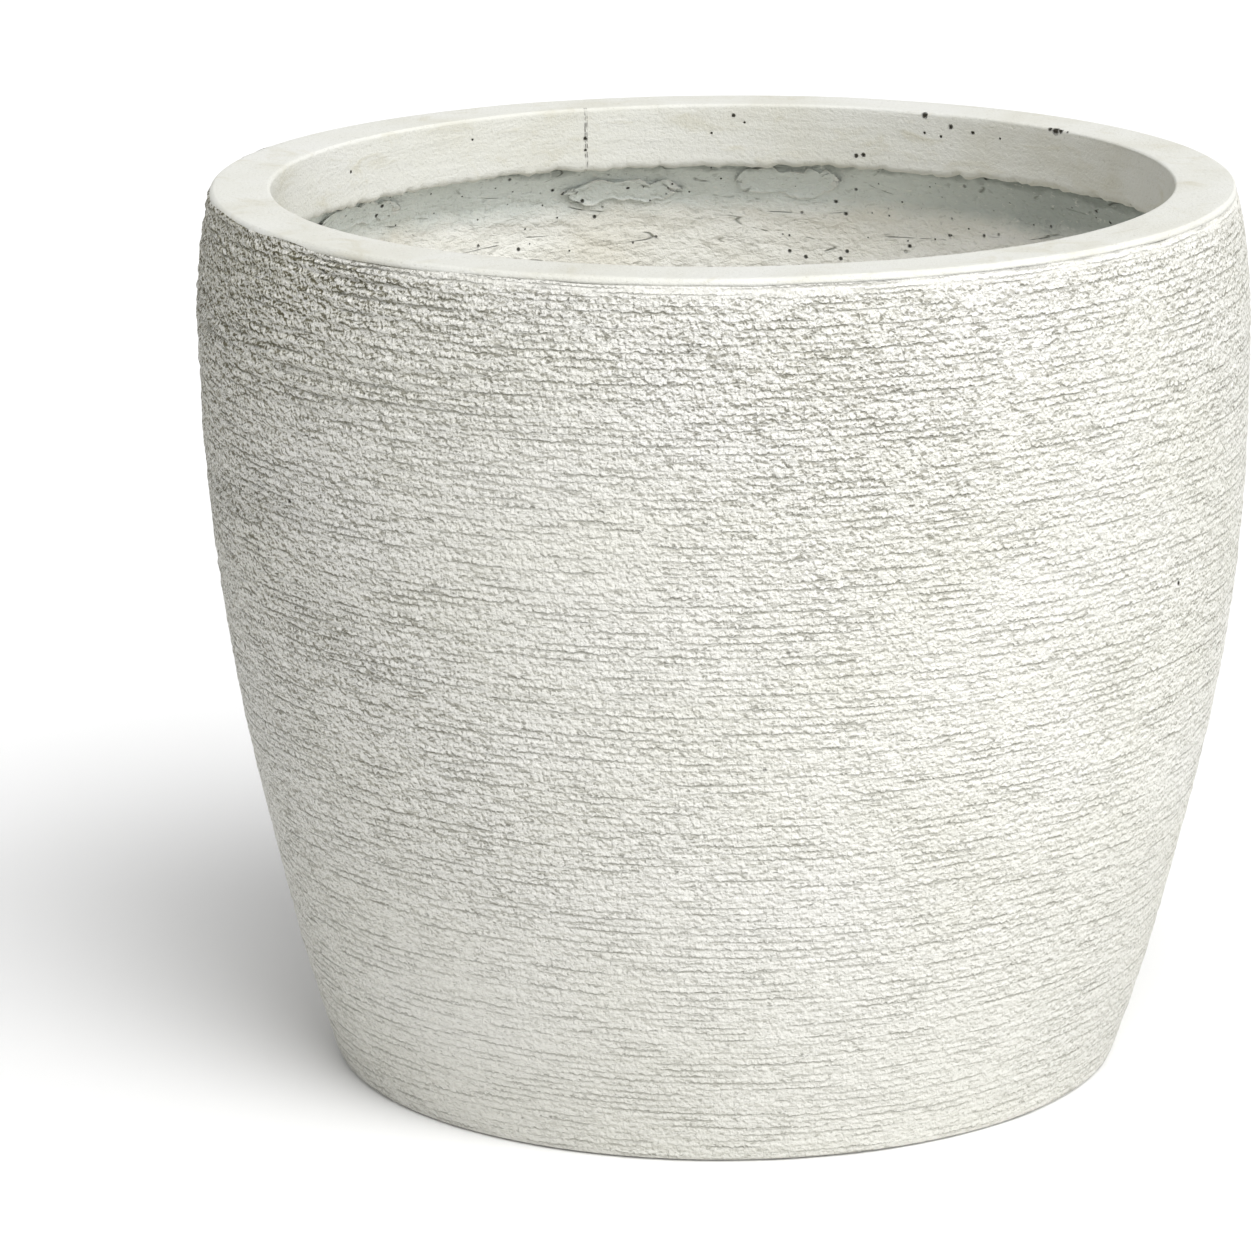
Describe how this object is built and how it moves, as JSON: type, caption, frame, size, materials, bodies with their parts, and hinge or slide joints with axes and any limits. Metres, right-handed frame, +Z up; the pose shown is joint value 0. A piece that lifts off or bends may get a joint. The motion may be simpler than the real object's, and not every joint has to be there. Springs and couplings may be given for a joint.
{
  "type": "planter",
  "caption": "Round fiberclay floor planter with a full belly near the top, a smooth turned-in rim, a combed outer coat, a flat foot and a rubber stopper in its drain hole.",
  "frame": {"origin": "centre of the foot, on the plane that the planter stands on", "axes": "+Z up along the axis of the pot, +Y towards the back of the pictured view"},
  "size_m": [0.4189, 0.419, 0.356],
  "materials": {
    "combed_clay": "combed, matt",
    "smooth_clay": "smooth cast, matt",
    "fibre_clay": "rough cast, matt",
    "clay_on_glass_mat": "hand pressed, matt",
    "stopper_rubber": "moulded, matt"
  },
  "bodies": {
    "pot": {"combed_coat": "combed_clay", "wall_laminate": "fibre_clay", "rim_collar": "smooth_clay", "upper_mat_course": "clay_on_glass_mat", "lower_mat_course": "clay_on_glass_mat", "lap_patches": "clay_on_glass_mat", "base_slab": "fibre_clay", "floor_mat": "clay_on_glass_mat"},
    "stopper": {"drain_plug": "stopper_rubber"}
  },
  "joints": [
    {"name": "stop_lift", "type": "slide", "parent": "pot", "child": "stopper", "axis": [0, 0, 1], "range_m": [0, 0.06]}
  ]
}
